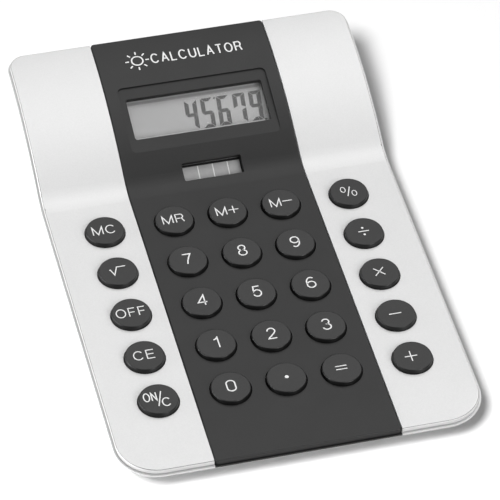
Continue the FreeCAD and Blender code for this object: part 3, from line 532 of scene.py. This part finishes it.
# Painted shade: a dark strip along the solar cell's top and right edges, where the window's walls
# shade it.
CELL_EDGE_SHADE = [(-9.4, 2.55), (9.0, 2.55), (9.0, -2.9)]
CELL_EDGE_SHADE_LINE = 0.75
CELL_EDGE_SHADE_LIFT = 0.02


def seat(node):
    """Middle, slope direction and outward normal of the flat upper face of a tilted CAD node."""
    mesh = frame["nodes"][node].data
    up = [p for p in mesh.polygons if p.normal.z > UPWARD and abs(p.normal.x) < SIDEWAYS]
    normal = sum((p.normal * p.area for p in up), Vector()).normalized()
    places = [v.co for v in mesh.vertices]
    height = max(p.dot(normal) for p in places)
    slope = normal.cross(Vector((1, 0, 0)))
    face = [p for p in places if height - p.dot(normal) < FLAT_WITHIN * MM]
    along = [p.dot(slope) for p in face]
    across = [p.x for p in face]
    middle = (Vector(((min(across) + max(across)) / 2, 0, 0))
              + slope * (min(along) + max(along)) / 2 + normal * height)
    return middle, slope, normal


def on_slope(seated, p, lift):
    """Place over a tilted face; x and y are millimetres from its middle, lift over it."""
    middle, slope, normal = seated
    return middle + Vector((1, 0, 0)) * p[0] * MM + slope * p[1] * MM + normal * lift * MM


lens_middle, glass_slope, glass_normal = seat("display_lens")
glass_depth = (lens_middle - seat("lcd_panel")[0]).dot(glass_normal)
# The display glass, centred under its window.
glass = (lens_middle - glass_normal * glass_depth, glass_slope, glass_normal)
cell = seat("solar_cell")


def on_glass(p):
    return on_slope(glass, p, GLASS_LIFT)


# The bars that are lit in each digit: a is the top one, b and f the upper right and upper left,
# c and e the lower ones, d the bottom one and g the middle one.
SEGMENTS = {"4": "bcfg", "5": "acdfg", "6": "acdefg", "7": "abcf", "9": "abcdfg"}
SHOWN = "45679"
DIGIT_HIGH = 10.1
DIGIT_WIDE = 3.7
DIGIT_BASE = -5.2
DIGIT_PITCH = 4.92
LAST_LEFT = 15.55
BAR = 1.28
BAR_SLIT = 0.12
BAR_MITRE = BAR * 0.9
MIDDLE_BAR_HALF = BAR / 2 * 0.95
SLANT = math.tan(math.radians(5))


def segment(mesh, kind, left):
    """One bar of a digit, with mitred ends, slanted."""
    half = BAR / 2
    top = DIGIT_HIGH
    middle = DIGIT_HIGH / 2
    right = DIGIT_WIDE
    if kind == "a":
        shape = [(BAR_SLIT, top), (right - BAR_SLIT, top),
                 (right - BAR, top - BAR_MITRE), (BAR, top - BAR_MITRE)]
    elif kind == "d":
        shape = [(BAR_SLIT, 0), (BAR, BAR_MITRE), (right - BAR, BAR_MITRE), (right - BAR_SLIT, 0)]
    elif kind == "g":
        tip = BAR_SLIT * 2
        bend = half + BAR_SLIT
        shape = [(tip, middle), (bend, middle + MIDDLE_BAR_HALF),
                 (right - bend, middle + MIDDLE_BAR_HALF), (right - tip, middle),
                 (right - bend, middle - MIDDLE_BAR_HALF), (bend, middle - MIDDLE_BAR_HALF)]
    else:
        outer = 0.0 if kind in "ef" else right
        inner = BAR if kind in "ef" else right - BAR
        if kind in "bf":
            low, high = middle + BAR_SLIT, top - BAR_SLIT
            shape = [(outer, high), (inner, high - BAR_MITRE), (inner, low + half), (outer, low)]
        else:
            low, high = BAR_SLIT, middle - BAR_SLIT
            shape = [(outer, high), (inner, high - half), (inner, low + BAR_MITRE), (outer, low)]
    placed = [(left + x + y * SLANT, DIGIT_BASE + y) for x, y in shape]
    mesh.faces.new([mesh.verts.new(on_glass(p)) for p in placed])


lit = bmesh.new()
for index, digit in enumerate(reversed(SHOWN)):
    for kind in SEGMENTS[digit]:
        segment(lit, kind, LAST_LEFT - index * DIGIT_PITCH)
dot(lit, *DECIMAL_POINT, on_glass)
stroke(lit, COMMA, COMMA_LINE, on_glass)
piece("lcd_digits", lit, "lcd_ink", "case")

# Painted shadow on the glass under the window's upper wall.
shade = bmesh.new()
stroke(shade, TOP_PAINTED_SHADOW, TOP_PAINTED_SHADOW_LINE, on_glass)
piece("lcd_top_painted_shadow", shade, "lcd_shade", "case")
# Painted highlight along the glass's left and bottom edges.
rim = bmesh.new()
stroke(rim, GLASS_EDGE_HIGHLIGHT, GLASS_EDGE_HIGHLIGHT_LINE, on_glass)
piece("lcd_glass_painted_highlight", rim, "lcd_edge", "case")

grid = bmesh.new()
for x in CELL_GAPS_X:
    stroke(grid, [(x, -CELL_GAP_HALF), (x, CELL_GAP_HALF)], CELL_GAP_LINE,
           lambda p: on_slope(cell, p, CELL_GAP_LIFT))
piece("solar_cell_lines", grid, "cell_line", "case")
# Painted shade along the solar cell's top and right edges.
edge = bmesh.new()
stroke(edge, CELL_EDGE_SHADE, CELL_EDGE_SHADE_LINE, lambda p: on_slope(cell, p, CELL_EDGE_SHADE_LIFT))
piece("solar_cell_painted_shade", edge, "cell_edge", "case")


# ---------------------------------------------------------------- print on the band

# The middle of the sun sign, in the row frame.
PRINT_X = -14.2
PRINT_Y = 69.0
PRINT_LINE = 0.44
PRINT_LIFT = 0.015
ABOVE_ALL = 0.1
SUN_RADIUS = 1.7
SUN_RAYS = 8
RAY_ENDS = (2.5, 3.6)
PRINT_WORD = dict(text="CALCULATOR", left=4.1, base=-1.9, high=3.8, gap=0.15, squeeze=0.74)

band = frame["nodes"]["centre_panel"]
band_tree = BVHTree.FromPolygons([band.matrix_world @ v.co for v in band.data.vertices],
                                 [list(p.vertices) for p in band.data.polygons])


def on_band(p):
    """Place on the band's curved upper face; x and y are millimetres from the sun sign."""
    above = Vector(((PRINT_X + p[0]) * MM, (PRINT_Y + p[1]) * MM, ABOVE_ALL))
    hit, normal, _, _ = band_tree.ray_cast(above, Vector((0, 0, -1)))
    return hit + normal * PRINT_LIFT * MM


printed = bmesh.new()
stroke(printed, ring(0, 0, SUN_RADIUS, SUN_RADIUS), PRINT_LINE, on_band, True)
for ray in range(SUN_RAYS):
    turn = math.tau * ray / SUN_RAYS
    ends = [(r * math.cos(turn), r * math.sin(turn)) for r in RAY_ENDS]
    stroke(printed, fine(ends), PRINT_LINE, on_band)
write(printed, width=PRINT_LINE, at=on_band, **PRINT_WORD)
piece("band_print", printed, "legend_white", "case")


# ---------------------------------------------------------------- marks underneath

MARK_LIFT = 0.012
MARK_HIGH = 3.4
MARK_LINE = 0.45
MARK_WORDS = (
    dict(text="CALCULATOR", left=-17.8, base=4.0, gap=0.3),
    dict(text="1", left=-13.3, base=-3.0),
    dict(text="5 V CELL", left=-9.9, base=-3.0, gap=0.3),
)
MARK_POINT = (-11.1, -2.7, 0.32)
FRAME = [(-21.0, -6.0), (21.0, -6.0), (21.0, 10.5), (-21.0, 10.5)]
FRAME_LINE = 0.35
PLUS_Y = -64.6
PLUS_RING = 1.7
PLUS_HALF = 0.9

under_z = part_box("battery_cover")[0].z - MARK_LIFT * MM


def underneath(p):
    """Place on the flat underside, read from below with the front edge at the top."""
    return (p[0] * MM, -p[1] * MM, under_z)


marks = bmesh.new()
for word in MARK_WORDS:
    write(marks, high=MARK_HIGH, width=MARK_LINE, at=underneath, **word)
dot(marks, *MARK_POINT, underneath)
stroke(marks, FRAME, FRAME_LINE, underneath, True)
# The sign for the positive side of the cell, on its cover.
stroke(marks, ring(0, PLUS_Y, PLUS_RING, PLUS_RING), FRAME_LINE, underneath, True)
stroke(marks, [(-PLUS_HALF, PLUS_Y), (PLUS_HALF, PLUS_Y)], FRAME_LINE, underneath)
stroke(marks, [(0.0, PLUS_Y - PLUS_HALF), (0.0, PLUS_Y + PLUS_HALF)], FRAME_LINE, underneath)
piece("under_marks", marks, "moulded_mark", "case")


# ---------------------------------------------------------------- floor and lights

FLOOR_HALF = 3.0
FLOOR_CELLS = 8
FLOOR_COLOUR = (0.93, 0.93, 0.93)
LIGHT_AIM = Vector((0, 0, 0.01))

floor_mesh = bmesh.new()
bmesh.ops.create_grid(floor_mesh, x_segments=FLOOR_CELLS, y_segments=FLOOR_CELLS, size=FLOOR_HALF)
floor = bpy.data.objects.new("floor", bpy.data.meshes.new("floor"))
floor_mesh.to_mesh(floor.data)
floor_mesh.free()
scene.collection.objects.link(floor)
floor.data.materials.append(material("floor_white", FLOOR_COLOUR, 0.9, specular=0.1,
                                     grain=20, vary=0.005, bump=0.0))
floor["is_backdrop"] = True


def receivers(name, state):
    """Collection that keeps a lamp to the floor, INCLUDE, or to all but the floor, EXCLUDE."""
    made = bpy.data.collections.new(name)
    made.objects.link(floor)
    made.collection_objects[0].light_linking.link_state = state
    return made


on_floor = receivers("lights_on_floor", "INCLUDE")
off_floor = receivers("lights_off_floor", "EXCLUDE")


def soft_light(name, direction, distance, wide, high, watts, lit_things):
    """Rectangular lamp in a direction from the object, turned towards it."""
    lamp = bpy.data.lights.new(name, "AREA")
    lamp.shape = "RECTANGLE"
    lamp.size = wide
    lamp.size_y = high
    lamp.energy = watts
    made = bpy.data.objects.new(name, lamp)
    scene.collection.objects.link(made)
    away = Vector(direction).normalized()
    made.location = LIGHT_AIM + away * distance
    made.rotation_euler = away.to_track_quat("Z", "Y").to_euler()
    made.light_linking.receiver_collection = lit_things
    made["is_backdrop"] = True


soft_light("back_softbox", (0.26, 0.46, 0.85), 1.2, 1.7, 0.9, 9.0, off_floor)
soft_light("left_softbox", (-1.0, 0.0, 0.02), 1.2, 1.4, 0.2, 36.0, off_floor)
soft_light("top_fill", (-0.25, 0.05, 0.96), 1.2, 0.9, 0.9, 4.0, off_floor)
soft_light("front_fill", (0.45, -0.75, 0.5), 1.2, 0.6, 0.6, 11.5, off_floor)
soft_light("right_fill", (0.85, 0.1, 0.5), 1.2, 0.6, 0.6, 3.0, off_floor)
soft_light("floor_key", (-0.46, -0.56, 1.0), 1.6, 0.38, 0.38, 30.0, on_floor)
soft_light("floor_fill", (-0.2, -0.9, 0.8), 1.6, 0.9, 0.9, 2.0, on_floor)


# ---------------------------------------------------------------- surroundings

# The room is brighter towards this direction, between these two heights along it.
BRIGHT_SIDE = (-0.45, 0.0, 1.0)
ROOM_FROM, ROOM_TO = 0.1, 0.8
ROOM_DARK, ROOM_BRIGHT = 0.05, 0.3
BACKDROP = 0.9

world = bpy.data.worlds.new("studio")
world.use_nodes = True
scene.world = world
sky = world.node_tree
toward = sky.nodes.new("ShaderNodeVectorMath")
toward.operation = "DOT_PRODUCT"
toward.inputs[1].default_value = BRIGHT_SIDE
facing = sky.nodes.new("ShaderNodeTexCoord").outputs["Generated"]
sky.links.new(facing, toward.inputs[0])
room = sky.nodes.new("ShaderNodeMapRange")
room.inputs["From Min"].default_value = ROOM_FROM
room.inputs["From Max"].default_value = ROOM_TO
room.inputs["To Min"].default_value = ROOM_DARK
room.inputs["To Max"].default_value = ROOM_BRIGHT
sky.links.new(toward.outputs["Value"], room.inputs["Value"])
# What is seen past the floor's edge is pale, whatever the room's own light is.
seen = sky.nodes.new("ShaderNodeMix")
seen.inputs["B"].default_value = BACKDROP
seen_directly = sky.nodes.new("ShaderNodeLightPath").outputs["Is Camera Ray"]
sky.links.new(seen_directly, seen.inputs["Factor"])
sky.links.new(room.outputs["Result"], seen.inputs["A"])
sky.links.new(seen.outputs["Result"], sky.nodes["Background"].inputs["Strength"])
sky.nodes["Background"].inputs["Color"].default_value = (1, 1, 1, 1)


# ---------------------------------------------------------------- camera

CAMERA_AZIMUTH = math.radians(-16.15)
CAMERA_ELEVATION = math.radians(45.52)
CAMERA_ROLL = math.radians(2.51)
CAMERA_AIM = Vector((0.00267, -0.00265, 0.0115))
CAMERA_AWAY = 1.0154
CAMERA_LENS = 253.3
SENSOR_WIDTH = 36.0

back = Vector((math.sin(CAMERA_AZIMUTH) * math.cos(CAMERA_ELEVATION),
               -math.cos(CAMERA_AZIMUTH) * math.cos(CAMERA_ELEVATION),
               math.sin(CAMERA_ELEVATION)))
right = Vector((math.cos(CAMERA_AZIMUTH), math.sin(CAMERA_AZIMUTH), 0))
up = back.cross(right)
right_rolled = right * math.cos(CAMERA_ROLL) + up * math.sin(CAMERA_ROLL)
up_rolled = up * math.cos(CAMERA_ROLL) - right * math.sin(CAMERA_ROLL)
camera = bpy.data.objects.new("camera", bpy.data.cameras.new("camera"))
camera.data.lens = CAMERA_LENS
camera.data.sensor_width = SENSOR_WIDTH
scene.collection.objects.link(camera)
place = Matrix((right_rolled, up_rolled, back)).transposed().to_4x4()
place.translation = CAMERA_AIM + back * CAMERA_AWAY
camera.matrix_world = place
scene.camera = camera
scene.view_settings.view_transform = "Standard"

low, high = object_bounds()
